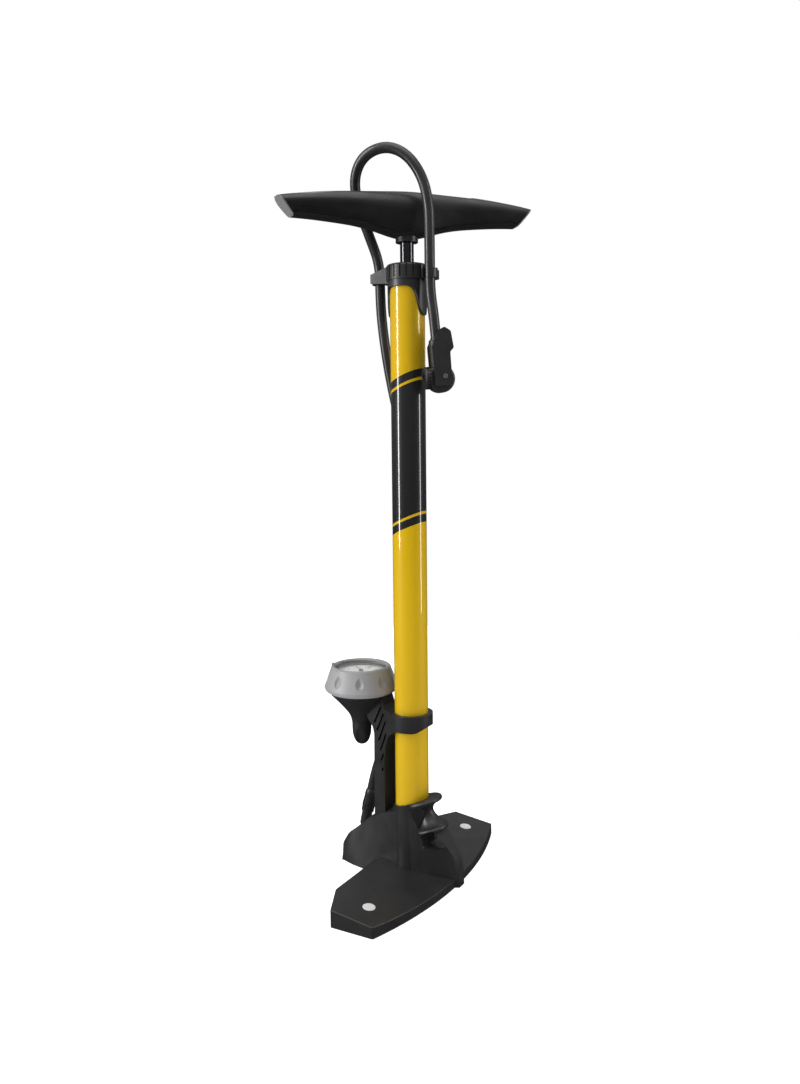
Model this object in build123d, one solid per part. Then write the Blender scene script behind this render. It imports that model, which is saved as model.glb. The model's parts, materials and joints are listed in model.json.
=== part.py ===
"""Floor bike pump with a base gauge, a looped hose and a lever head.

Units are millimetres, +Z is up and the origin lies on the floor, on the barrel's axis.
+Y points to the gauge, -Y to the user, and the foot wings spread along X.
"""
from build123d import *
from math import cos, pi, radians, sin, tan
import os

# ---------------------------------------------------------------- driving dimensions
BARREL_R = 16.0            # outer radius of the lacquered steel tube
BARREL_BORE_R = 14.5
BARREL_Z0 = 36.0           # bottom of the tube, on the foot plug's flange
BARREL_Z1 = 573.0

WING_END_X = 122.9         # half span of the foot
WING_END_Y0 = -28.5
WING_END_Y1 = 14.4
WING_KINK_X = 91.4
WING_REAR_Y = 29.4
WING_FRONT_Y = -49.0       # front edge on the centre line
WING_TOP_Z = 14.2          # height of the sloping top over the origin
WING_SLOPE = 0.13          # rise towards the gauge
FOOT_WALL = 3.2
STUD_X = 97.7
STUD_Y = -9.7
STUD_R = 5.7
STUD_PROUD = 0.4

RIM_Z = 75.1               # slanting rim round the barrel's foot, on the axis
RIM_SLOPE = 0.3            # rise of the rim towards the user
SOCKET_R = 18.4
SPOOL_Y = -12.0            # axis of the hose spool on the user side
PASSAGE_Z = 8.0            # height of the drilled air passage
TENON_Z = 46.0             # foot of the gauge bracket's tenon

GAUGE_Y = 56.0             # axis of the gauge
GAUGE_PIPE_Y = 30.6        # axis of the air pipe up the bracket
CUP_R = 26.8               # outside of the gauge cup, inside the turning bezel
CUP_TOP_Z = 197.8
DIAL_SEAT_Z = 194.8
BEZEL_FOOT = (36.1, 181.3)         # widest (radius, z) of the bezel's sloping grip
BEZEL_BROW = (29.0, 200.8)         # top (radius, z) of the same slope
DIMPLES = 9
DIMPLE_FROM = 209.0                # direction of one dimple about +Z, from +X
NEEDLE_REST = 225.0                # direction of the needle at no pressure

BRACKET_W = 16.0           # width of the gauge bracket along X
BRACKET_Y0 = 24.0
BRACKET_Y1 = 37.2
RING_Z0 = 146.6
RING_Z1 = 162.4
RING_R = 20.6

CAP_R = 18.0
CAP_BAND_R = 19.0
CAP_Z0 = 564.0
CAP_TOP_Z = 578.0
CAP_LOBE_Z = 533.0
CAP_ARCH_Z = 557.7

ROD_R = 6.25
ROD_TOP_Z = 630.0
RUNNING = 0.05             # radial clearance of shafts in their bores
HANDLE_TURN = -45.0        # grip direction about +Z, from +X
HUB_Z0 = 597.4
GRIP_END = 118.6           # half length of the grip at its top edge
PISTON_Z0 = 55.0           # piston's lowest face with the handle pushed down

HOSE_R = 4.7
HOSE_BORE_R = 2.6
CLIP_SEAT_R = HOSE_R + 0.25
REAR_CLIP = (7.8, 33.2)
FRONT_CLIP = (-7.8, -27.3)

ELBOW_AT = (14.0, 62.4, 35.6)      # corner of the outlet elbow
ELBOW_ROOT = (0.0, 55.0, 21.0)     # where the elbow meets the air passage
NUT_LENGTH = 20.5

HEAD_AT = (-4.6, -35.3, 474.8)     # centre of the head's drum
HEAD_TURN = 221.35                 # direction of the lever pin about +Z, from +X
HEAD_TILT = 5.0                    # the head hangs this far off plumb
LEVER_PIN = (2.5, 1.8)             # lever pin in the head's (y, z)
VALVE_Z = 1.5                      # height of the valve port in the head
HOSE_END_Y = -0.5                  # hose axis in the head
HOSE_TOP_Z = 34.6                  # top of the head's neck, where the hose ends
COLLAR_Y0 = -14.7
COLLAR_Y1 = -9.7
CAM_SHIFT = (0.3, -0.52)           # offset of the cam from the lever pin
PUSHER_Y1 = -1.55                  # back of the pusher, clear of the cam

# Corners of the hose's route, from the strain relief at the foot to the lever head.
HOSE_ROUTE = [
    (14.0, 54.2, 71.75),
    (14.0, 47.33, 101.98),
    (20.5, 31.0, 135.0),
    (26.5, 17.0, 176.0),
    (28.0, 8.5, 232.0),
    (28.5, 5.5, 298.0),
    (26.0, 9.0, 364.0),
    (20.0, 17.5, 424.0),
    (13.6, 27.2, 478.0),
    (9.4, 32.2, 524.0),
    (7.8, 33.2, 552.0),
    (7.8, 33.2, 582.0),
    (-1.0, 38.0, 605.0),
    (-10.8, 42.8, 628.0),
    (-19.8, 43.6, 653.0),
    (-23.2, 32.0, 671.5),
    (-22.4, 10.0, 678.0),
    (-18.4, -9.4, 670.5),
    (-13.0, -22.6, 651.5),
    (-9.4, -27.6, 628.0),
    (-7.8, -27.3, 602.0),
    (-7.8, -27.3, 574.0),
    (-7.8, -27.6, 551.0),
    (-8.07, -31.36, 529.15),
    (-6.92, -32.67, 509.23),
]

NODES = {}


# ---------------------------------------------------------------- helpers
def disc(radius, z0, z1, x=0.0, y=0.0):
    """Upright cylinder between two heights."""
    return Pos(x, y, z0) * Cylinder(radius, z1 - z0, align=(Align.CENTER, Align.CENTER, Align.MIN))


def tube(outer, inner, z0, z1, x=0.0, y=0.0):
    """Upright tube between two heights."""
    return disc(outer, z0, z1, x, y) - disc(inner, z0 - 1, z1 + 1, x, y)


def block(x0, x1, y0, y1, z0, z1):
    """Box between two corners."""
    return Pos((x0 + x1) / 2, (y0 + y1) / 2, (z0 + z1) / 2) * Box(x1 - x0, y1 - y0, z1 - z0)


def turned(points):
    """Solid turned about Z from a closed outline of (radius, height) points."""
    outline = Polyline(*[(r, 0, z) for r, z in points], close=True)
    return revolve(make_face(outline), Axis.Z)


def side_plate(points, x0, x1):
    """Plate between x0 and x1 from a closed outline of (y, z) points."""
    outline = Polyline(*[(x0, y, z) for y, z in points], close=True)
    return extrude(make_face(outline), amount=x1 - x0, dir=(1, 0, 0))


def bar(start, end, radius):
    """Round bar between two points."""
    span = Vector(*end) - Vector(*start)
    place = Plane(origin=start, z_dir=span)
    return place * Cylinder(radius, span.length, align=(Align.CENTER, Align.CENTER, Align.MIN))


def one(shape):
    """The shape as a single solid, as cuts and joins leave it in a compound."""
    solids = shape.solids()
    return solids[0] if len(solids) == 1 else Compound(children=list(solids))


def keep(name, shape):
    NODES[name] = one(shape)


# ---------------------------------------------------------------- foot
def wing_top(y):
    return WING_TOP_Z + WING_SLOPE * y


def wing_plan(inset):
    """Plan of both wings in one outline, moved inwards by inset."""
    end_x = WING_END_X - inset
    front_drop = WING_END_Y0 + inset
    corners = [
        (end_x, front_drop),
        (end_x, WING_END_Y1 - inset * 0.5),
        (WING_KINK_X - inset * 0.5, WING_REAR_Y - inset),
        (-WING_KINK_X + inset * 0.5, WING_REAR_Y - inset),
        (-end_x, WING_END_Y1 - inset * 0.5),
        (-end_x, front_drop),
    ]
    edges = Polyline(*corners) + ThreePointArc(corners[-1], (0, WING_FRONT_Y + inset), corners[0])
    return make_face(edges)


def above_wings(lift):
    """Slab over the sloping top of the wings."""
    roof = Plane(origin=(0, 0, WING_TOP_Z + lift), x_dir=(1, 0, 0), z_dir=(0, -WING_SLOPE, 1))
    return roof * Pos(0, 0, 40) * Box(420, 300, 80)


def make_wings():
    wings = extrude(fillet(wing_plan(0).vertices(), 1.6), amount=30)
    wings = wings - above_wings(0)
    rim = [edge for edge in wings.edges() if edge.bounding_box().min.Z > 6]
    return fillet(rim, 0.8)


def boot_section(y, crest_z, crest_half, roof_z, foot_half):
    """Section across the keel: walls up to the crest and a shallow roof over it."""
    points = [(-foot_half, y, 0), (foot_half, y, 0), (crest_half, y, crest_z), (0, y, roof_z),
              (-crest_half, y, crest_z)]
    return make_face(Polyline(*points, close=True))


def make_boot():
    """Keel that carries the barrel, lofted along Y from its nose to its tail."""
    sections = [(-53, 6.0, 4.6, 6.3, 5.0), (-45, 33.0, 7.0, 33.4, 8.2), (-36, 45.5, 10.2, 46.0, 10.8),
                (-26, 56.0, 13.6, 56.6, 13.8), (-14, 66.0, 16.6, 66.8, 16.2), (-2, 71.0, 17.8, 72.0, 16.6),
                (8, 68.2, 16.2, 69.6, 16.2), (19, 63.8, 13.0, 65.8, 15.8), (30, 58.4, 10.0, 60.9, 15.2),
                (42, 50.8, 7.5, 53.6, 14.0), (54, 42.0, 5.0, 43.6, 12.4), (66, 32.2, 4.0, 33.2, 9.6),
                (78, 12.0, 3.8, 13.0, 6.5)]
    return loft([boot_section(*section) for section in sections])


def rim_plane(y):
    return Plane(origin=(0, y, RIM_Z - RIM_SLOPE * y), x_dir=(1, 0, 0), z_dir=(0, RIM_SLOPE, 1))


def make_spool():
    """Drum with two rounded lips on the user side, about an axis square to the slanting rim."""
    outline = Polyline((0, 0, 0), (16.2, 0, 0)) + ThreePointArc((16.2, 0, 0), (18.2, 0, -2.3), (16.4, 0, -4.8))
    outline += Line((16.4, 0, -4.8), (15.4, 0, -26.6))
    outline += ThreePointArc((15.4, 0, -26.6), (17.2, 0, -29.2), (15.2, 0, -31.8))
    outline += Polyline((15.2, 0, -31.8), (9.0, 0, -34.0), (0, 0, -34.0), (0, 0, 0))
    return rim_plane(SPOOL_Y) * revolve(make_face(outline), Axis.Z)


def make_spool_groove():
    """Trumpet-shaped groove between the lips, ending in a round hollow in each wall of the keel."""
    outline = Spline((19.0, 0, -4.4), (10.6, 0, -6.8), (7.0, 0, -11.5), (8.6, 0, -18.0), (13.2, 0, -24.0),
                     (19.5, 0, -27.0))
    outline += Polyline((19.5, 0, -27.0), (44, 0, -27.0), (44, 0, -4.4), (19.0, 0, -4.4))
    ring = rim_plane(SPOOL_Y) * revolve(make_face(outline), Axis.Z)
    hollow = ring & (Pos(0, -28.5, 67.5) * Rot(0, 90, 0) * Cylinder(19.5, 80))
    return hollow - disc(SOCKET_R, 30, 110)


def tunnel_face(x, corners, rounding):
    outline = Polyline(*[(x, y, z) for y, z in corners], close=True)
    return fillet(make_face(outline).vertices(), rounding)


def make_tunnel():
    """Opening under the spool, right through the keel, dished towards both sides."""
    hole = [(-20.6, 47.6), (-30.5, 50.0), (-40.8, 37.0), (-32.5, 35.2), (-22.6, 37.0)]
    mouth = [(-15.6, 47.5), (-30.0, 57.0), (-50.0, 37.5), (-36.0, 30.5), (-18.0, 34.5)]
    tunnel = extrude(tunnel_face(-24, hole, 2.4), amount=48, dir=(1, 0, 0))
    for side in (-1, 1):
        dish = loft([tunnel_face(side * 5.5, hole, 2.4), tunnel_face(side * 19.0, mouth, 4.0)])
        tunnel = tunnel + dish
    return tunnel


def make_base():
    body = make_wings() + make_boot() + disc(SOCKET_R, 10, 95) + make_spool()
    body = body - rim_plane(0) * Pos(0, 0, 30) * Box(120, 160, 60)
    body = body - make_spool_groove() - make_tunnel()
    body = body - disc(BARREL_R + 0.05, 30.0, 120)
    # ribbed hollows under the wings
    hollow = extrude(wing_plan(FOOT_WALL), amount=30, dir=(0, 0, 1))
    hollow = hollow - above_wings(-FOOT_WALL)
    hollow = hollow - block(-26, 26, -60, 40, -1, 40)
    for rib_x in (-102, -74, -50, 50, 74, 102):
        hollow = hollow - block(rib_x - 1.2, rib_x + 1.2, -60, 40, -1, 40)
    hollow = hollow - block(-130, 130, -8.5, -6.1, -1, 40)
    for side in (-1, 1):
        hollow = hollow - disc(STUD_R + 1.8, -1, 40, side * STUD_X, STUD_Y)
        hollow = hollow - disc(9.8, -1, 40, side * 112, -17)
        hollow = hollow - disc(9.8, -1, 40, side * 96, 18)
    body = body - Pos(0, 0, -0.01) * hollow
    # air passage from under the foot plug, its drilling closed behind the elbow
    body = body - disc(3.0, PASSAGE_Z - 1, 31) - bar((0, 0, PASSAGE_Z), (0, 90, PASSAGE_Z), 2.6)
    body = body - bar(ELBOW_ROOT, ELBOW_AT, 4.2)
    body = body - disc(2.0, PASSAGE_Z, ELBOW_ROOT[2] + 1, 0, ELBOW_ROOT[1])
    body = body - disc(2.4, PASSAGE_Z, 60, 0, GAUGE_PIPE_Y)
    # slot for the bracket's tenon
    body = body - block(-4.6, 4.6, 26.4, 34.1, TENON_Z - 0.1, 65)
    # pockets for studs, pads and the foot screw
    for side in (-1, 1):
        stud_z = wing_top(STUD_Y)
        body = body - disc(STUD_R + 0.1, stud_z - 5.0, stud_z + 6, side * STUD_X, STUD_Y)
        body = body - disc(8.1, -1, 2.4, side * 112, -17) - disc(8.1, -1, 2.4, side * 96, 18)
    return body - disc(6.1, -1, 2.4, 0, 69.0) - disc(6.1, -1, 2.4, 0, -33.0)


def make_foot():
    keep("base_body", make_base())
    studs = []
    pads = []
    for side in (-1, 1):
        stud_z = wing_top(STUD_Y)
        stud = disc(STUD_R, stud_z - 4.9, stud_z + 6, side * STUD_X, STUD_Y) - above_wings(STUD_PROUD)
        studs.append(fillet(stud.edges().group_by(Axis.Z)[-1], 0.3))
        pads.append(disc(8.0, 0, 2.3, side * 112, -17))
        pads.append(disc(8.0, 0, 2.3, side * 96, 18))
    pads += [disc(6.0, 0, 2.3, 0, 69.0), disc(6.0, 0, 2.3, 0, -33.0)]
    keep("foot_studs", Compound(children=studs))
    keep("anti_slip_pads", Compound(children=pads))
    keep("outlet_blanking_plug", bar((0, 73.6, PASSAGE_Z), (0, 77.8, PASSAGE_Z), 2.5))


# ---------------------------------------------------------------- barrel and check valve
def make_barrel():
    keep("barrel", tube(BARREL_R, BARREL_BORE_R, BARREL_Z0, BARREL_Z1))
    plug = disc(BARREL_R, 30.1, BARREL_Z0 - 0.05) + disc(BARREL_BORE_R - 0.05, 30.1, PISTON_Z0 - 0.5)
    plug = plug - tube(BARREL_BORE_R + 1, 12.6, 42.5, 45.5)
    plug = plug - disc(6.0, 30, 46.0) - disc(3.0, 40, 60)
    keep("foot_plug", plug)
    keep("foot_plug_seal", tube(BARREL_BORE_R - 0.05, 12.65, 42.6, 45.4))
    keep("check_valve_poppet", disc(4.6, 43.2, 45.9) + disc(1.2, 39.0, 43.3))
    spring_path = Helix(1.7, 9.3, 2.3)
    wire = Plane(origin=spring_path @ 0, z_dir=spring_path % 0) * Circle(0.35)
    keep("check_valve_spring", Pos(0, 0, 33.2) * sweep(wire, path=spring_path, is_frenet=True))
    seat = disc(5.9, 30.6, 32.6) - disc(1.4, 30, 33)
    for turn in range(4):
        seat = seat - Rot(0, 0, 90 * turn) * disc(0.9, 30, 33, 3.8, 0)
    keep("check_valve_cage", seat)


# ---------------------------------------------------------------- gauge and its bracket
def gauge_pipe_path():
    return FilletPolyline((0, GAUGE_PIPE_Y, 50), (0, GAUGE_PIPE_Y, 152), (0, 45, 168), (0, 45, 181), radius=8.0)


def along(path, radius):
    """Round section swept along a path."""
    return sweep(Plane(origin=path @ 0, z_dir=path % 0) * Circle(radius), path=path)


def housing_turned(roof):
    """Egg-shaped foot and trumpet funnel, closed off by the given (radius, z) points."""
    foot = Spline((0, 0, 122.6), (4.8, 0, 124.2), (8.0, 0, 129.6), (9.3, 0, 137), (9.6, 0, 146.4))
    foot += Line((9.6, 0, 146.4), (10.0, 0, 146.8))
    bell = Spline((10.0, 0, 146.8), (10.9, 0, 150.7), (17.0, 0, 159.9), (25.2, 0, 169.1), (29.6, 0, 173.6))
    closing = Polyline((29.6, 0, 173.6), *[(r, 0, z) for r, z in roof], (0, 0, 122.6))
    return Pos(0, GAUGE_Y, 0) * revolve(make_face(foot + bell + closing), Axis.Z)


def make_housing():
    cup_bore = CUP_R - 1.6
    housing = housing_turned([(30.2, 176.2), (CUP_R, 176.2), (CUP_R, CUP_TOP_Z), (cup_bore, CUP_TOP_Z),
                              (cup_bore, DIAL_SEAT_Z), (23.4, DIAL_SEAT_Z), (23.4, 171.5), (14.8, 161.9),
                              (8.3, 153.0), (6.0, 149.5), (6.0, 140), (0, 140)])
    housing = housing - along(gauge_pipe_path(), 2.4)
    # flat ovals on both sides of the foot
    for turn in (200, -20):
        facing = Vector(cos(radians(turn)), sin(radians(turn)), -tan(radians(13)))
        seat = Plane(origin=(7.4 * facing.X, GAUGE_Y + 7.4 * facing.Y, 133.5), z_dir=facing,
                     x_dir=(-facing.Y, facing.X, 0))
        housing = housing - extrude(seat * Ellipse(4.4, 8.0), amount=6)
    return housing


def make_bezel():
    foot_r, foot_z = BEZEL_FOOT
    brow_r, brow_z = BEZEL_BROW
    bore = CUP_R + 0.3
    ring = turned([(30.6, 176.5), (32.2, 176.5), (34.8, 178.2), (foot_r, foot_z), (brow_r, brow_z), (27.4, 202.1),
                   (25.8, 201.7), (24.9, 200.7), (24.9, 199.9), (bore, 199.9), (bore, 190), (30.6, 179.5)])
    # teardrop finger dimples, wide at the foot, and the index mark on the brow
    slope = Vector(brow_r - foot_r, 0, brow_z - foot_z).normalized()
    outward = Vector(slope.Z, 0, -slope.X)
    start = Vector(foot_r, 0, foot_z) + slope * 2.6 + outward * 2.6
    outline = Spline((0, 0, 0), (4.7, 0, 4.6), (3.0, 0, 12.6), (0, 0, 16.8)) + Line((0, 0, 16.8), (0, 0, 0))
    drop = Plane(origin=start, z_dir=slope, x_dir=(0, 1, 0)) * revolve(make_face(outline), Axis.Z)
    for number in range(DIMPLES):
        ring = ring - Rot(0, 0, DIMPLE_FROM + 360 * number / DIMPLES) * drop
    index_mark = block(25.9, 28.4, -1.5, 1.5, 201.0, 204.2)
    ring = ring + Rot(0, 0, 119) * fillet(index_mark.edges().group_by(Axis.Z)[-1], 0.6)
    return Pos(0, GAUGE_Y, 0) * ring


def make_needle():
    blade = make_face(Polyline((-6, -1.0), (0, -0.9), (19, -0.3), (19, 0.3), (0, 0.9), (-6, 1.0), close=True))
    needle = Pos(0, 0, 196.3) * extrude(blade, amount=0.6)
    needle = needle + disc(2.2, 196.25, 197.2) + disc(0.75, 183, 196.5)
    return Pos(0, GAUGE_Y, 0) * Rot(0, 0, NEEDLE_REST) * needle


def make_bracket(base):
    """Arm from the keel to the gauge, with a ring round the barrel and a tenon in the keel."""
    half = BRACKET_W / 2
    side_view = [(BRACKET_Y0, 46), (BRACKET_Y1 + 0.6, 46), (BRACKET_Y1, 138), (38.8, 144.5), (44, 152), (52.0, 172.0),
                 (26.6, 175.0), (24.6, 167.6), (21.0, 163.4), (15.5, 161.4), (5, 160.8), (5, 146.6), (11.0, 144.4),
                 (16.5, 140.2), (20.4, 134.2), (22.8, 126), (BRACKET_Y0, 112)]
    # the arm widens into tangents to the ring
    neck = make_face(Polyline((-18.5, 9), (18.5, 9), (half, 30.6), (-half, 30.6), close=True))
    plan = extrude(neck, amount=200) + disc(RING_R, 0, 200) + block(-half, half, 20, 60, 0, 200)
    bracket = side_plate(side_view, -21, 21) & plan
    # the ring's lower edge climbs towards its far side
    climb = side_plate([(-30, 158), (-19.5, 152.4), (-17, 149.2), (-14, 147.2), (-10, 146.5), (-10, 140), (-30, 140)],
                       -30, 30)
    bracket = bracket + (tube(RING_R, BARREL_R + 0.1, RING_Z0, RING_Z1) - climb)
    bracket = bracket - disc(BARREL_R + 0.1, 30, 300)
    # slanting slots down both cheeks: (y, z, length) of their middles
    slots = [(32.7, 157.1, 18.5), (29.5, 150.4, 20.2), (27.0, 142.3, 24.0), (25.7, 131.4, 21.4),
             (27.3, 115.9, 8.6), (27.0, 103.9, 4.2)]
    for y, z, length in slots:
        cut = Rot(25.6, 0, 0) * Box(7, 2.1, length)
        for side in (-1, 1):
            bracket = bracket - Pos(side * (half + 1.1), y, z) * cut
    bracket = bracket - base + block(-4.5, 4.5, 26.5, 34, TENON_Z, 56)
    bracket = bracket - housing_turned([(30.2, 176.2), (0, 176.2)])
    return bracket - along(gauge_pipe_path(), 2.4) - disc(2.4, 40, 60, 0, GAUGE_PIPE_Y)


def make_gauge():
    keep("gauge_bracket", make_bracket(NODES["base_body"]))
    keep("gauge_pipe", along(gauge_pipe_path(), 2.2) - along(gauge_pipe_path(), 1.3))
    keep("gauge_housing", make_housing())
    keep("gauge_bezel", make_bezel())
    cup_bore = CUP_R - 1.6
    keep("gauge_dial", tube(cup_bore - 0.2, 0.85, DIAL_SEAT_Z, 195.7, 0, GAUGE_Y))
    keep("gauge_spacer", tube(cup_bore - 0.1, cup_bore - 1.6, 195.7, CUP_TOP_Z, 0, GAUGE_Y))
    keep("gauge_lens", disc(CUP_R - 0.3, CUP_TOP_Z, 199.6, 0, GAUGE_Y))
    keep("gauge_needle", make_needle())
    movement = block(-5, 5, GAUGE_Y - 19.6, GAUGE_Y + 4.4, 181, 187) - disc(0.85, 180, 188, 0, GAUGE_Y)
    arc = revolve(Plane.XZ * Pos(18, 0) * Circle(1.6), Axis.Z, 270)
    keep("gauge_movement", movement)
    keep("bourdon_tube", Pos(0, GAUGE_Y, 184) * Rot(0, 0, -76) * arc - movement)


# ---------------------------------------------------------------- cap, clips and bush
def make_clip(seat, facing):
    """C-shaped hose clip that opens towards facing along X, on a sloping web to the cap."""
    x, y = seat
    side = 1 if y > 0 else -1
    clip = tube(CLIP_SEAT_R + 2.25, CLIP_SEAT_R, 563.5, 571.5, x, y)
    mouth = block(0, 12, -4, 4, 550, 590)
    clip = clip - Pos(x, y, 0) * Rot(0, 0, 0 if facing > 0 else 180) * mouth
    end = y + side * 2.3
    web = side_plate([(side * 15, CAP_TOP_Z), (end, 571.5), (end, 563.5), (side * 15, 562)], -4.25, 4.25)
    web = Pos(-facing * 1.75, 0, 0) * web - disc(CLIP_SEAT_R, 550, 590, x, y)
    return web + clip


def make_cap():
    cap = disc(CAP_R, 531, CAP_Z0 + 1) + disc(CAP_BAND_R, CAP_Z0, CAP_TOP_Z)
    cap = fillet(cap.edges().group_by(Axis.Z)[-1], 2.6)
    # arches towards +X and -X leave a lobe on each of the other two sides
    for side in (-1, 1):
        crown = Spline((side * 0.6, 0, 532.2), (side * 3.2, 0, CAP_LOBE_Z), (side * 5.8, 0, 537.4),
                       (side * 9.4, 0, 549), (side * 12.6, 0, 556.2), (side * 17.0, 0, CAP_ARCH_Z))
        outside = Polyline((side * 17.0, 0, CAP_ARCH_Z), (side * 25, 0, CAP_ARCH_Z), (side * 25, 0, 528),
                           (side * 0.6, 0, 528), (side * 0.6, 0, 532.2))
        cap = cap - extrude(make_face(crown + outside), amount=30, both=True)
    cap = cap - block(-1, 1, -30, 30, 528, 532.2)
    # upright grooves in the band, over each arch
    groove = block(CAP_BAND_R - 1.2, CAP_BAND_R + 2, -0.7, 0.7, CAP_Z0 + 1.5, CAP_TOP_Z + 1)
    for middle in (0, 180):
        for turn in (-45, -27, -9, 9, 27, 45):
            cap = cap - Rot(0, 0, middle + turn) * groove
    cap = cap + make_clip(REAR_CLIP, 1) + make_clip(FRONT_CLIP, -1)
    return cap - disc(BARREL_R + 0.05, 520, BARREL_Z1 + 0.1) - disc(9.0, 560, 600)


def make_cap_parts():
    keep("top_cap", make_cap())
    bush = tube(8.95, ROD_R + RUNNING, 566, CAP_TOP_Z - 0.2) + tube(14.4, 8.0, 568, 573)
    keep("rod_bush", bush)


# ---------------------------------------------------------------- rod and piston
def hexagon(across, z0, z1, bore):
    outline = RegularPolygon(across / 2, 6, major_radius=False)
    return Pos(0, 0, z0) * extrude(outline, amount=z1 - z0) - disc(bore, z0 - 1, z1 + 1)


def make_plunger():
    foot = PISTON_Z0
    stud_r = 3.0
    rod = disc(ROD_R, foot + 19, ROD_TOP_Z) - disc(ROD_R - 1.25, foot + 27, ROD_TOP_Z - 6)
    keep("rod", rod + disc(stud_r, foot, foot + 20))
    keep("piston_nut", hexagon(10, foot + 0.8, foot + 5.2, stud_r))
    keep("piston_washer", tube(9.0, stud_r + RUNNING, foot + 5.5, foot + 6.8))
    cup = tube(BARREL_BORE_R - RUNNING, stud_r + RUNNING, foot + 6.8, foot + 9.2)
    lip = turned([(BARREL_BORE_R - RUNNING, foot + 3.4), (BARREL_BORE_R - RUNNING, foot + 7), (12.2, foot + 7)])
    keep("piston_cup", cup + lip)
    piston = tube(BARREL_BORE_R - 0.1, stud_r + RUNNING, foot + 9.2, foot + 18.8)
    piston = piston - tube(BARREL_BORE_R + 1, 12.4, foot + 12.5, foot + 15.5)
    keep("piston", piston)
    keep("top_bumper", tube(11.5, ROD_R + 0.1, foot + 18.8, foot + 27))


# ---------------------------------------------------------------- handle
def grip_section(s, top_z, foot_z, half_width, foot_half, inset):
    """Rounded section of the grip across its length, moved inwards by inset."""
    top = top_z - inset
    foot = foot_z + inset
    wide = half_width - inset
    narrow = foot_half - inset * 0.6
    height = top - foot
    right = [(wide * 0.62, top - height * 0.045), (wide * 0.97, top - height * 0.30), (wide * 0.93, top - height * 0.60),
             (narrow, foot + height * 0.06)]
    points = [(0, top)] + right + [(0, foot)] + [(-y, z) for y, z in reversed(right)]
    return make_face(Spline(*[(s, y, z) for y, z in points], periodic=True))


def grip_body(inset):
    """Whole grip along X: a bar that thins towards its ends and swells into the hub."""
    half = [(128, 628.6, 617.8, 11.5, 8.0), (GRIP_END, 631.6, 616.2, 12.6, 8.6), (104, 634.0, 615.4, 13.4, 9.0),
            (84, 636.5, 614.4, 13.8, 9.2), (62, 638.5, 612.4, 13.9, 9.2), (40, 639.7, 609.2, 14.2, 9.4),
            (21, 640.6, 604.2, 15.6, 10.2)]
    middle = [(0, 641.3, 600.6, 17.0, 11.5)]
    stations = [(-s, *rest) for s, *rest in half] + middle + half[::-1]
    return loft([grip_section(*station, inset) for station in stations])


def end_cut(depth):
    """Everything beyond the slanting end face of the +X end, set back by depth."""
    high = (GRIP_END - depth, 632.5)
    low = (103.8 - depth, 614.0)
    lean = ((high[0] - low[0]) / (high[1] - low[1]))
    outline = Polyline((low[0] - 6 * lean, -30, low[1] - 6), (high[0] + 8 * lean, -30, high[1] + 8),
                       (140, -30, high[1] + 8), (140, -30, low[1] - 6), close=True)
    return extrude(make_face(outline), amount=60, dir=(0, 1, 0))


def make_insert(shell):
    """Soft pad let into the top of the -X half, wider on the side of the user."""
    near = [(-112, 0), (-107, 7.4), (-96, 10.4), (-86, 11.3), (-76, 10.4), (-66, 8.6), (-59, 0)]
    far = [(-66, -7.4), (-76, -9.4), (-86, -10.2), (-96, -9.4), (-107, -6.4)]
    plan = make_face(Spline(*[(s, -y, 625) for s, y in near + far], periodic=True))
    return extrude(plan, amount=30, dir=(0, 0, 1)) & shell


def make_handle():
    place = Rot(0, 0, HANDLE_TURN)
    half_turn = Rot(0, 0, 180)
    outer = grip_body(0)
    shell = outer - grip_body(1.6)
    hub = disc(10.2, HUB_Z0, 612)
    pads = make_insert(shell)
    pads = [pads, half_turn * pads]
    grip = outer + hub
    caps = []
    for turned_round in (Rot(0, 0, 0), half_turn):
        caps.append(outer & (turned_round * (end_cut(1.4) - end_cut(0))))
        grip = grip - turned_round * end_cut(1.4)
    for pad in pads:
        grip = grip - pad
    # two long ribs down each flank, following the underside
    ribbed = grip_body(-0.4)
    underside = [(12, 604.0), (21, 605.8), (40, 611.2), (62, 614.2), (84, 616.2), (102, 617.4)]
    flank = [(44, 616.0), (62, 618.6), (84, 620.2), (104, 621.0)]
    for line in (underside, flank):
        for side in (-1, 1):
            upper = Spline(*[(side * s, -30, z + 0.9) for s, z in line])
            lower = Spline(*[(side * s, -30, z) for s, z in line])
            ends = Line(upper @ 0, lower @ 0) + Line(upper @ 1, lower @ 1)
            strip = extrude(make_face(upper + lower + ends), amount=60, dir=(0, 1, 0))
            grip = grip + (strip & ribbed)
    grip = grip - disc(ROD_R, HUB_Z0 - 1, ROD_TOP_Z) - hexagon(17, 618, 624, ROD_R)
    keep("handle_grip", place * grip)
    keep("handle_inserts", Compound(children=[place * pad for pad in pads]))
    keep("handle_end_caps", Compound(children=[place * cap for cap in caps]))
    keep("handle_nut", place * hexagon(17, 618, 624, ROD_R))


# ---------------------------------------------------------------- hose and its outlet
def corner_radii(points):
    """Arc at each corner of a route: 0.45 of the shorter run over the tangent of half the turn."""
    radii = []
    for before, here, after in zip(points, points[1:], points[2:]):
        run_in = Vector(*here) - Vector(*before)
        run_out = Vector(*after) - Vector(*here)
        turn = radians(run_in.get_angle(run_out))
        radii.append(0.45 * min(run_in.length, run_out.length) / tan(turn / 2))
    return radii


def make_hose():
    radii = corner_radii(HOSE_ROUTE)
    path = FilletPolyline(*HOSE_ROUTE, radius=radii)
    hose = along(path, HOSE_R) - along(path, HOSE_BORE_R)
    section = pi * (HOSE_R ** 2 - HOSE_BORE_R ** 2)
    print("hose radii", [round(radius) for radius in radii])
    print("hose length", round(path.length, 1), "volume over section", round(hose.volume / section, 1))
    keep("hose", hose)


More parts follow.
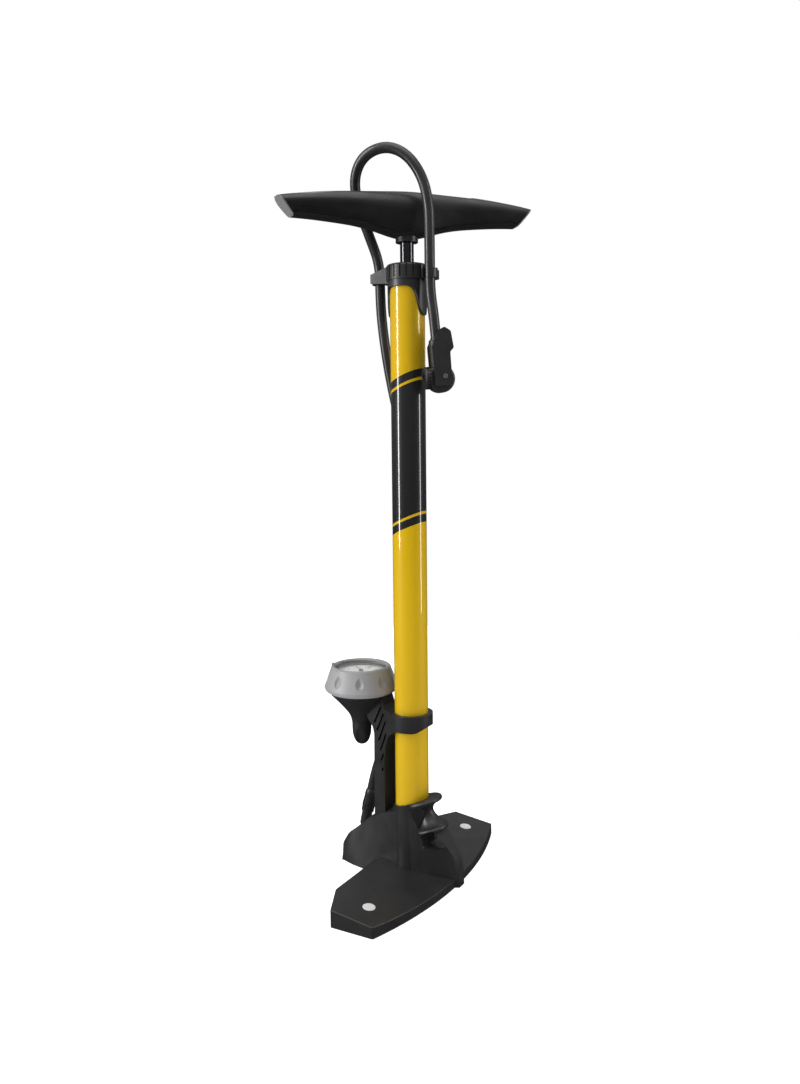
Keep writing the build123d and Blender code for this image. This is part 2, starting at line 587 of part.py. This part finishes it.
def make_outlet():
    """Elbow out of the keel and the ribbed strain relief on its leg."""
    corner = Vector(*ELBOW_AT)
    leg = Vector(*HOSE_ROUTE[0]) - corner
    reach = leg.length
    frame = Plane(origin=corner, z_dir=leg, x_dir=(1, 0, 0))
    nut_z0 = reach - NUT_LENGTH
    elbow = frame * (disc(5.3, 0, nut_z0 - 3.5) + Sphere(5.3) + disc(6.3, nut_z0 - 3.5, nut_z0 - 0.6)
                     + disc(4.5, nut_z0 - 2, nut_z0 + 13) + disc(HOSE_BORE_R - 0.1, nut_z0, reach + 7))
    root = Vector(*ELBOW_ROOT)
    elbow = elbow + bar(root + (corner - root).normalized() * 0.5, corner, 4.1)
    elbow = elbow - bar(root, corner, 1.5) - frame * disc(1.5, 0, reach + 9)
    keep("hose_elbow", elbow)
    wall = Spline((6.2, 0, 0), (6.5, 0, 3), (5.9, 0, 12), (5.2, 0, NUT_LENGTH - 1.2), (4.6, 0, NUT_LENGTH))
    outline = wall + Polyline((4.6, 0, NUT_LENGTH), (0, 0, NUT_LENGTH), (0, 0, 0), (6.2, 0, 0))
    nut = revolve(make_face(outline), Axis.Z)
    rib_gap = Pos(6.9, 0, 9) * Box(2.4, 1.1, 13)
    for number in range(14):
        nut = nut - Rot(0, 0, 360 * number / 14) * rib_gap
    nut = nut - disc(4.55, -1, 13.1) - disc(HOSE_BORE_R, 0, 30)
    keep("hose_nut", frame * Pos(0, 0, nut_z0) * nut)


# ---------------------------------------------------------------- lever head
def head_place():
    """The head's own frame: x along the lever pin, y away from the barrel, z up the hose."""
    return Pos(*HEAD_AT) * Rot(0, 0, HEAD_TURN) * Rot(HEAD_TILT, 0, 0)


def lying(radius, y0, y1, x=0.0, z=0.0):
    """Round bar along the head's y."""
    return bar((x, y0, z), (x, y1, z), radius)


def make_head_body():
    pin_y, pin_z = LEVER_PIN
    drum = Rot(0, 90, 0) * Cylinder(12.5, 15)
    drum = fillet(drum.edges().filter_by(GeomType.CIRCLE), 2.4)
    neck = chamfer(disc(6.8, 0, HOSE_TOP_Z, 0, HOSE_END_Y).edges().group_by(Axis.Z)[-1], 0.8)
    body = drum + neck
    body = body - block(-20, 20, -20, COLLAR_Y1 + 0.05, -20, 20)
    body = body + lying(7.0, -13.5, -6, z=VALVE_Z)
    # lever pin, cam slot, valve chamber with the pusher's guide, and the air way from the hose
    body = body - bar((-20, pin_y, pin_z), (20, pin_y, pin_z), 2.2 + RUNNING)
    body = body - Pos(0, pin_y, pin_z) * Rot(0, 90, 0) * Cylinder(5.2, 5.8)
    body = body - block(-2.9, 2.9, pin_y, 20, pin_z - 5.2, pin_z + 5.2)
    body = body - lying(5.1, -20, -6.3, z=VALVE_Z) - lying(2.4 + RUNNING, -8, 0, z=VALVE_Z)
    body = body - disc(3.5, 14, HOSE_TOP_Z + 1, 0, HOSE_END_Y) - bar((0, HOSE_END_Y, 15), (0, -9, 4), 1.2)
    return body


def make_lever():
    pin_y, pin_z = LEVER_PIN
    cheek = [(-9.5, -8.5), (6, -8.5), (6.5, 21), (10, 24), (8.5, 39), (3, 43), (-3, 40), (-9.5, 27)]
    outline = make_face(Polyline(*[(8.0, y, z) for y, z in cheek], close=True))
    outline = fillet(outline.vertices(), 2.6)
    arm = extrude(outline, amount=2.2, dir=(1, 0, 0))
    thumb = [(5.6, 21.0), (7.2, 22.6), (10, 24.4), (8.5, 38), (5, 41.2), (3.0, 41.0), (5.4, 36), (6.2, 27)]
    web = side_plate(thumb, -8.2, 8.2)
    lever = arm + mirror(arm, about=Plane.YZ) + web
    lever = lever - bar((-20, 0, 0), (20, 0, 0), 2.2 + RUNNING)
    return Pos(0, pin_y, pin_z) * lever


def make_head():
    place = head_place()
    pin_y, pin_z = LEVER_PIN
    cam = Pos(0, pin_y + CAM_SHIFT[0], pin_z + CAM_SHIFT[1]) * Rot(0, 90, 0) * Cylinder(4.0, 5.0)
    pin = bar((-10.8, pin_y, pin_z), (10.8, pin_y, pin_z), 2.2) + cam
    collar = lying(10.0, COLLAR_Y0, COLLAR_Y1, z=VALVE_Z)
    collar = fillet(collar.edges().group_by(Axis.Y)[0], 1.2)
    rib_gap = Pos(10.1, 0, 0) * Box(1.5, 8, 1.2)
    for number in range(20):
        turn = Pos(0, (COLLAR_Y0 + COLLAR_Y1) / 2 + 3, VALVE_Z) * Rot(0, 360 * number / 20, 0)
        collar = collar - turn * rib_gap
    collar = collar - lying(7.05, -13.55, 0, z=VALVE_Z) - lying(4.4, -20, 0, z=VALVE_Z)
    gasket = lying(5.0, -13.5, -8.8, z=VALVE_Z) - lying(3.9, -20, 0, z=VALVE_Z)
    pusher = lying(2.4, -7.5, PUSHER_Y1, z=VALVE_Z) + lying(4.8, -7.5, -6.6, z=VALVE_Z)
    barb = disc(3.45, 16, HOSE_TOP_Z, 0, HOSE_END_Y) + disc(HOSE_BORE_R - 0.1, 20, HOSE_TOP_Z + 12, 0, HOSE_END_Y)
    keep("head_body", place * make_head_body())
    keep("valve_collar", place * collar)
    keep("valve_gasket", place * gasket)
    keep("head_pusher", place * pusher)
    keep("hose_barb", place * (barb - disc(1.5, 10, 60, 0, HOSE_END_Y)))
    keep("lever", place * make_lever())
    keep("lever_pin", place * pin)


# ---------------------------------------------------------------- write
def main():
    os.makedirs("parts", exist_ok=True)
    make_foot()
    make_barrel()
    make_gauge()
    make_cap_parts()
    make_plunger()
    make_handle()
    make_hose()
    make_outlet()
    make_head()
    for name, shape in NODES.items():
        export_step(shape, f"parts/{name}.step")


main()
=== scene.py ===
import json
import math

import bmesh
import bpy
from mathutils import Matrix, Vector


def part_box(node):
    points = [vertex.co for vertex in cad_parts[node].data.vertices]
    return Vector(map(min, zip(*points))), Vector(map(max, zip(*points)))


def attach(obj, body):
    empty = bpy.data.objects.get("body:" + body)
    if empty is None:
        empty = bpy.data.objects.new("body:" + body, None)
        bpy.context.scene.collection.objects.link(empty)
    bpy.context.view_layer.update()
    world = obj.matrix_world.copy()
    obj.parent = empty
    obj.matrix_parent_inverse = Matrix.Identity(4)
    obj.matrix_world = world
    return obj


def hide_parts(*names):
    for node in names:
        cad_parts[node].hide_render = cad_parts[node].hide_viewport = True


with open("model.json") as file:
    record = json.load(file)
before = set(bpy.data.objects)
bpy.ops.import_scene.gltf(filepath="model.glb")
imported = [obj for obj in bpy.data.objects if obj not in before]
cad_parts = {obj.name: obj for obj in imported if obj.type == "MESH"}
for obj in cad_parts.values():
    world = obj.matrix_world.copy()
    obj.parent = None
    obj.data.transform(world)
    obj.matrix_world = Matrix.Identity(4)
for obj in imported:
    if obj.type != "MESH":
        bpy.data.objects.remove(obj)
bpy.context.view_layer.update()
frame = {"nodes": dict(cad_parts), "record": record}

nodes = frame["nodes"]

# ---------------------------------------------------------------- sizes
MM = 0.001

BAND_Z0 = 338 * MM                      # plain dark band round the barrel
BAND_Z1 = 478 * MM
BAND_EDGE = 7.5 * MM                    # dark strip at each end of the band
BAND_LINE = 2.5 * MM                    # line of lacquer left bare next to it
BAND_SLANT = 0.45                       # fall of the band's ends towards the gauge

GAUGE_Y = 56 * MM                       # axis of the gauge
DIAL_FROM = 225                         # direction of the first mark, in degrees about +Z from +X
DIAL_SWEEP = 270
TICK_COUNT = 54
TICKS_PER_NUMBER = 9
TICK_RIM_R = 22 * MM                    # outer end of every tick
TICK_R = 20 * MM                        # inner end of a small tick, and of one at a number
TICK_AT_NUMBER_R = 18 * MM
TICK_HALF = 0.2 * MM                    # half widths of the same two
TICK_AT_NUMBER_HALF = 0.45 * MM
TICK_WIDTH_R = 21 * MM                  # radius at which the ticks have those widths
NUMBER_R = 14.6 * MM
NUMBER_SIZE = 5 * MM
NUMBER_STEP = 2
INK_LIFT = 0.05 * MM                    # from the dial to the ticks' underside, and on to the numbers' middle
INK_DEPTH = 0.08 * MM

HOSE_D = 9.4 * MM

CAMERA_AT = Vector((-776.5, -431.7, 427.96)) * MM
CAMERA_TURN = math.radians(-61.02)      # azimuth that the camera looks from, 0 being -Y
CAMERA_DIP = math.radians(6.58)
CAMERA_ROLL = math.radians(-0.55)
CAMERA_LENS = 31.735                    # on a 36 mm sensor
CAMERA_SHIFT = -0.0104

FLOOR_R = 1.2
FLOOR_DROP = 0.5 * MM                   # keeps the floor's face and the foot's underside apart
LIGHT_TARGET = Vector((0, 0, 0.35))

# The hose's route from the strain relief on the foot, over the grip, to the lever head.
HOSE_ROUTE = [
    (0.0140, 0.0542, 0.07175),
    (0.0140, 0.04733, 0.10198),
    (0.0205, 0.0310, 0.1350),
    (0.0265, 0.0170, 0.1760),
    (0.0280, 0.0085, 0.2320),
    (0.0285, 0.0055, 0.2980),
    (0.0260, 0.0090, 0.3640),
    (0.0200, 0.0175, 0.4240),
    (0.0136, 0.0272, 0.4780),
    (0.0094, 0.0322, 0.5240),
    (0.0078, 0.0332, 0.5520),
    (0.0078, 0.0332, 0.5820),
    (-0.0010, 0.0380, 0.6050),
    (-0.0108, 0.0428, 0.6280),
    (-0.0198, 0.0436, 0.6530),
    (-0.0232, 0.0320, 0.6715),
    (-0.0224, 0.0100, 0.6780),
    (-0.0184, -0.0094, 0.6705),
    (-0.0130, -0.0226, 0.6515),
    (-0.0094, -0.0276, 0.6280),
    (-0.0078, -0.0273, 0.6020),
    (-0.0078, -0.0273, 0.5740),
    (-0.0078, -0.0276, 0.5510),
    (-0.00807, -0.03136, 0.52915),
    (-0.00692, -0.03267, 0.50923),
]


# ---------------------------------------------------------------- camera, light and floor
def view_axes():
    """Level directions from the object towards the camera, and to the right of the view."""
    towards = Vector((math.sin(CAMERA_TURN), -math.cos(CAMERA_TURN), 0))
    across = Vector((math.cos(CAMERA_TURN), math.sin(CAMERA_TURN), 0))
    return towards, across


def make_camera():
    data = bpy.data.cameras.new("camera")
    camera = bpy.data.objects.new("camera", data)
    bpy.context.collection.objects.link(camera)
    towards, across = view_axes()
    ahead = -towards * math.cos(CAMERA_DIP) - Vector((0, 0, math.sin(CAMERA_DIP)))
    upward = across.cross(ahead)
    right = across * math.cos(CAMERA_ROLL) + upward * math.sin(CAMERA_ROLL)
    top = upward * math.cos(CAMERA_ROLL) - across * math.sin(CAMERA_ROLL)
    turned = Matrix((right, top, -ahead)).transposed().to_4x4()
    camera.matrix_world = Matrix.Translation(CAMERA_AT) @ turned
    data.sensor_width = 36
    data.lens = CAMERA_LENS
    data.shift_x = CAMERA_SHIFT
    data.clip_start = 0.01
    bpy.context.scene.camera = camera


def make_sky():
    """White backdrop that lights the object more softly than it looks, and more from above."""
    world = bpy.data.worlds.new("studio")
    bpy.context.scene.world = world
    world.use_nodes = True
    tree = world.node_tree
    sky = tree.nodes["Background"]
    sky.inputs["Color"].default_value = (1.0, 1.0, 1.0, 1)
    seen = tree.nodes.new("ShaderNodeLightPath")
    direction = tree.nodes.new("ShaderNodeTexCoord")
    parts = tree.nodes.new("ShaderNodeSeparateXYZ")
    glow = tree.nodes.new("ShaderNodeMapRange")
    for socket, value in (("From Min", -0.1), ("From Max", 0.7), ("To Min", 0.03), ("To Max", 0.5)):
        glow.inputs[socket].default_value = value
    level = tree.nodes.new("ShaderNodeMapRange")
    level.inputs["To Max"].default_value = 1.0
    tree.links.new(direction.outputs["Generated"], parts.inputs["Vector"])
    tree.links.new(parts.outputs["Z"], glow.inputs["Value"])
    tree.links.new(glow.outputs["Result"], level.inputs["To Min"])
    tree.links.new(seen.outputs["Is Camera Ray"], level.inputs["Value"])
    tree.links.new(level.outputs["Result"], sky.inputs["Strength"])
    bpy.context.scene.view_settings.view_transform = "Standard"


def area_light(name, place, width, height, watts):
    data = bpy.data.lights.new(name, "AREA")
    data.shape = "RECTANGLE"
    data.size = width
    data.size_y = height
    data.energy = watts
    light = bpy.data.objects.new(name, data)
    bpy.context.collection.objects.link(light)
    light.location = place
    light.rotation_euler = (LIGHT_TARGET - place).to_track_quat("-Z", "Y").to_euler()


def make_lights():
    towards, across = view_axes()
    area_light("softbox_left", towards * 0.5 - across * 1.5 + Vector((0, 0, 0.9)), 0.2, 1.7, 30)
    area_light("softbox_right", towards * 0.3 + across * 1.6 + Vector((0, 0, 0.7)), 0.2, 1.6, 12)
    area_light("overhead", towards * 0.4 + Vector((0, 0, 1.9)), 1.6, 1.6, 15)


def make_floor():
    """Round sheet of white paper that glows a little and doesn't show in glossy parts."""
    mesh = bpy.data.meshes.new("floor")
    bm = bmesh.new()
    bmesh.ops.create_circle(bm, cap_ends=True, segments=96, radius=FLOOR_R)
    bm.to_mesh(mesh)
    bm.free()
    floor = bpy.data.objects.new("floor", mesh)
    bpy.context.collection.objects.link(floor)
    floor.location.z = -FLOOR_DROP
    paper = bpy.data.materials.new("floor_paper")
    paper.use_nodes = True
    shader = paper.node_tree.nodes["Principled BSDF"]
    shader.inputs["Base Color"].default_value = (0.8, 0.8, 0.8, 1)
    shader.inputs["Emission Color"].default_value = (1, 1, 1, 1)
    shader.inputs["Emission Strength"].default_value = 0.7
    shader.inputs["Roughness"].default_value = 0.9
    mesh.materials.append(paper)
    floor.visible_glossy = False


# ---------------------------------------------------------------- materials
class Paint:
    """A node material built round one Principled shader."""

    def __init__(self, name, color, roughness, metallic=0.0):
        self.material = bpy.data.materials.new(name)
        self.material.use_nodes = True
        self.tree = self.material.node_tree
        self.shader = self.tree.nodes["Principled BSDF"]
        self.color = (*color, 1)
        self.set("Base Color", self.color)
        self.set("Roughness", roughness)
        self.set("Metallic", metallic)
        self.place = self.tree.nodes.new("ShaderNodeTexCoord").outputs["Object"]
        self.bump = None

    def set(self, socket, value):
        self.shader.inputs[socket].default_value = value
        return self

    def node(self, kind, **inputs):
        made = self.tree.nodes.new(kind)
        for socket, value in inputs.items():
            made.inputs[socket.replace("_", " ")].default_value = value
        return made

    def join(self, source, target):
        self.tree.links.new(source, target)

    def stretched(self, x, y, z):
        """Object coordinates scaled unevenly, for brushed or drawn surfaces."""
        mapping = self.tree.nodes.new("ShaderNodeMapping")
        mapping.inputs["Scale"].default_value = (x, y, z)
        self.join(self.place, mapping.inputs["Vector"])
        return mapping.outputs["Vector"]

    def noise(self, scale, detail=3.0, place=None):
        texture = self.node("ShaderNodeTexNoise", Scale=scale, Detail=detail)
        self.join(place or self.place, texture.inputs["Vector"])
        return texture.outputs["Fac"]

    def ranged(self, value, low, high):
        """The middle of a noise's range, spread from low to high."""
        made = self.node("ShaderNodeMapRange", To_Min=low, To_Max=high)
        made.inputs["From Min"].default_value = 0.3
        made.inputs["From Max"].default_value = 0.7
        self.join(value, made.inputs["Value"])
        return made.outputs["Result"]

    def uneven_gloss(self, scale, low, high, place=None):
        gloss = self.ranged(self.noise(scale, place=place), low, high)
        self.join(gloss, self.shader.inputs["Roughness"])

    def relief(self, height, distance, strength):
        """Adds a bump from a height output, on top of any bump before it."""
        made = self.node("ShaderNodeBump", Strength=strength, Distance=distance)
        self.join(height, made.inputs["Height"])
        if self.bump:
            self.join(self.bump, made.inputs["Normal"])
        self.bump = made.outputs["Normal"]
        self.join(self.bump, self.shader.inputs["Normal"])

    def color_mix(self, other, factor):
        """Mix node from the base colour, or from what already feeds it, to another colour."""
        mix = self.tree.nodes.new("ShaderNodeMix")
        mix.data_type = "RGBA"
        mix.inputs["A"].default_value = self.color
        mix.inputs["B"].default_value = (*other, 1)
        socket = self.shader.inputs["Base Color"]
        if socket.links:
            self.join(socket.links[0].from_socket, mix.inputs["A"])
        self.join(factor, mix.inputs["Factor"])
        self.join(mix.outputs["Result"], socket)

    def mottled(self, scale, other):
        """Base colour drifting towards another colour with a soft noise."""
        self.color_mix(other, self.ranged(self.noise(scale, 4.0), 0.0, 1.0))

    def maths(self, operation, *values):
        """Math node over numbers and outputs."""
        made = self.tree.nodes.new("ShaderNodeMath")
        made.operation = operation
        for socket, value in zip(made.inputs, values):
            if isinstance(value, (int, float)):
                socket.default_value = value
            else:
                self.join(value, socket)
        return made.outputs["Value"]


def moulded(name, color, roughness, grain=900.0, depth=0.05):
    """Injection-moulded plastic: spark-eroded grain, uneven gloss and faint colour drift."""
    paint = Paint(name, color, roughness)
    paint.uneven_gloss(70.0, roughness - 0.05, roughness + 0.07)
    paint.mottled(14.0, [c * 1.3 + 0.001 for c in color])
    paint.relief(paint.noise(grain, 2.0), depth * MM, 0.6)
    paint.relief(paint.noise(45.0, 1.0), 0.12 * MM, 0.12)
    return paint


def banded_lacquer():
    """Clear-coated yellow lacquer with one plain dark band, cut on a slant, and two thin bare lines in it."""
    lacquer = Paint("lacquer_yellow", (0.52, 0.33, 0.001), 0.35)
    lacquer.set("Coat Weight", 0.9).set("Coat Roughness", 0.035).set("Specular IOR Level", 0.2)
    lacquer.mottled(6.0, (0.49, 0.305, 0.001))
    lacquer.relief(lacquer.noise(160.0, 1.0), 0.03 * MM, 0.25)
    parts = lacquer.tree.nodes.new("ShaderNodeSeparateXYZ")
    lacquer.join(lacquer.place, parts.inputs["Vector"])
    slant = lacquer.maths("MULTIPLY_ADD", parts.outputs["Y"], BAND_SLANT, parts.outputs["Z"])
    middle = (BAND_Z0 + BAND_Z1) / 2
    away = lacquer.maths("ABSOLUTE", lacquer.maths("SUBTRACT", slant, middle))
    half = (BAND_Z1 - BAND_Z0) / 2
    inside = lacquer.maths("LESS_THAN", away, half)
    line_from = lacquer.maths("GREATER_THAN", away, half - BAND_EDGE - BAND_LINE)
    line_to = lacquer.maths("LESS_THAN", away, half - BAND_EDGE)
    bare = lacquer.maths("MULTIPLY", line_from, line_to)
    lacquer.color_mix((0.012, 0.012, 0.013), lacquer.maths("SUBTRACT", inside, bare))
    return lacquer


def make_materials():
    paints = {}
    paints["moulded_black"] = moulded("moulded_black", (0.012, 0.012, 0.0125), 0.4)
    paints["grip_black"] = moulded("grip_black", (0.006, 0.006, 0.0065), 0.36, 1300.0, 0.03)
    paints["bezel_grey"] = moulded("bezel_grey", (0.205, 0.205, 0.21), 0.45, 1100.0, 0.04)
    paints["stud_grey"] = moulded("stud_grey", (0.5, 0.5, 0.51), 0.4, 1600.0, 0.03)
    paints["pad_grey"] = moulded("pad_grey", (0.13, 0.132, 0.136), 0.55, 1500.0, 0.04)
    paints["pad_rubber"] = moulded("pad_rubber", (0.02, 0.02, 0.021), 0.65, 1500.0, 0.05)
    paints["white_acetal"] = moulded("white_acetal", (0.7, 0.69, 0.66), 0.3, 1500.0, 0.01)

    paints["lacquer_yellow"] = banded_lacquer()

    rubber = Paint("hose_rubber", (0.012, 0.012, 0.013), 0.34)
    rubber.uneven_gloss(90.0, 0.28, 0.42)
    rubber.mottled(30.0, (0.022, 0.022, 0.024))
    rubber.relief(rubber.noise(700.0, 2.0), 0.03 * MM, 0.5)
    paints["hose_rubber"] = rubber

    chrome = Paint("dark_chrome", (0.075, 0.075, 0.08), 0.14, 1.0)
    chrome.uneven_gloss(300.0, 0.1, 0.22, chrome.stretched(1, 1, 12))
    chrome.relief(chrome.noise(60.0, 2.0, chrome.stretched(1, 1, 30)), 0.01 * MM, 0.3)
    paints["dark_chrome"] = chrome

    turned_metals = [("steel", (0.5, 0.5, 0.51), 0.3), ("brass", (0.62, 0.43, 0.17), 0.28)]
    for name, color, roughness in turned_metals:
        metal = Paint(name, color, roughness, 1.0)
        metal.uneven_gloss(400.0, roughness - 0.08, roughness + 0.1)
        metal.relief(metal.noise(900.0, 2.0), 0.01 * MM, 0.4)
        paints[name] = metal

    needle = Paint("needle_dark", (0.02, 0.02, 0.022), 0.35)
    needle.uneven_gloss(500.0, 0.3, 0.42)
    paints["needle_dark"] = needle

    dial = Paint("dial_white", (0.78, 0.78, 0.77), 0.5)
    dial.mottled(60.0, (0.72, 0.72, 0.71))
    dial.relief(dial.noise(1500.0, 2.0), 0.01 * MM, 0.3)
    paints["dial_white"] = dial

    lens = Paint("lens_clear", (0.93, 0.95, 0.96), 0.04)
    lens.set("Alpha", 0.16).set("Coat Weight", 1.0).set("Coat Roughness", 0.02)
    lens.relief(lens.noise(40.0, 1.0), 0.02 * MM, 0.1)
    paints["lens_clear"] = lens

    ink = Paint("dial_ink", (0.02, 0.02, 0.022), 0.5)
    ink.mottled(800.0, (0.035, 0.035, 0.037))
    paints["dial_ink"] = ink
    return {name: paint.material for name, paint in paints.items()}


# ---------------------------------------------------------------- pieces
def add_mesh(name, mesh, material, body):
    piece = bpy.data.objects.new(name, mesh)
    bpy.context.collection.objects.link(piece)
    mesh.materials.append(material)
    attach(piece, body)


def make_hose(material):
    curve = bpy.data.curves.new("hose_line", "CURVE")
    curve.dimensions = "3D"
    curve.resolution_u = 24
    curve.bevel_depth = HOSE_D / 2
    curve.bevel_resolution = 8
    line = curve.splines.new("NURBS")
    line.points.add(len(HOSE_ROUTE) - 1)
    for point, place in zip(line.points, HOSE_ROUTE):
        point.co = (*place, 1)
    line.order_u = 3
    line.use_endpoint_u = True
    hose = bpy.data.objects.new("hose_rubber_tube", curve)
    bpy.context.collection.objects.link(hose)
    curve.materials.append(material)
    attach(hose, "root")
    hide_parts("hose")


def paint_cad_nodes(materials):
    slots = {row["node"]: row["material_slot"] for row in frame["record"]["subparts"]}
    for name, piece in nodes.items():
        piece.data.materials.clear()
        piece.data.materials.append(materials[slots[name]])


def dial_point(radius, angle, z):
    turn = math.radians(angle)
    return Vector((math.cos(turn) * radius, GAUGE_Y + math.sin(turn) * radius, z))


def make_dial_ticks(ink, z):
    """Raised tick marks over the needle's sweep, longer and wider at the numbers."""
    mesh = bpy.data.meshes.new("dial_ticks")
    bm = bmesh.new()
    for tick in range(TICK_COUNT + 1):
        angle = DIAL_FROM - DIAL_SWEEP * tick / TICK_COUNT
        at_number = tick % TICKS_PER_NUMBER == 0
        inner = TICK_AT_NUMBER_R if at_number else TICK_R
        half = math.degrees((TICK_AT_NUMBER_HALF if at_number else TICK_HALF) / TICK_WIDTH_R)
        ends = ((inner, -half), (TICK_RIM_R, -half), (TICK_RIM_R, half), (inner, half))
        bm.faces.new([bm.verts.new(dial_point(radius, angle + turn, z)) for radius, turn in ends])
    thickness = bmesh.ops.extrude_face_region(bm, geom=bm.faces[:])
    for made in thickness["geom"]:
        if isinstance(made, bmesh.types.BMVert):
            made.co.z += INK_DEPTH
    bmesh.ops.recalc_face_normals(bm, faces=bm.faces)
    bm.to_mesh(mesh)
    bm.free()
    add_mesh("dial_ticks", mesh, ink, "root")


def make_dial_numbers(ink, z):
    """Plain even numbers from 0, each inside its tick."""
    count = TICK_COUNT // TICKS_PER_NUMBER
    for number in range(count + 1):
        text = bpy.data.curves.new(f"dial_number_{number}", "FONT")
        text.body = str(number * NUMBER_STEP)
        text.size = NUMBER_SIZE
        text.extrude = INK_DEPTH / 2
        text.align_x = "CENTER"
        text.align_y = "CENTER"
        label = bpy.data.objects.new(f"dial_number_{number}", text)
        bpy.context.collection.objects.link(label)
        label.location = dial_point(NUMBER_R, DIAL_FROM - DIAL_SWEEP * number / count, z + INK_LIFT)
        text.materials.append(ink)
        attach(label, "root")


# ---------------------------------------------------------------- build
def build():
    make_camera()
    make_sky()
    make_lights()
    make_floor()
    materials = make_materials()
    make_hose(materials["hose_rubber"])
    paint_cad_nodes(materials)
    print_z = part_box("gauge_dial")[1].z + INK_LIFT
    make_dial_ticks(materials["dial_ink"], print_z)
    make_dial_numbers(materials["dial_ink"], print_z)


build()
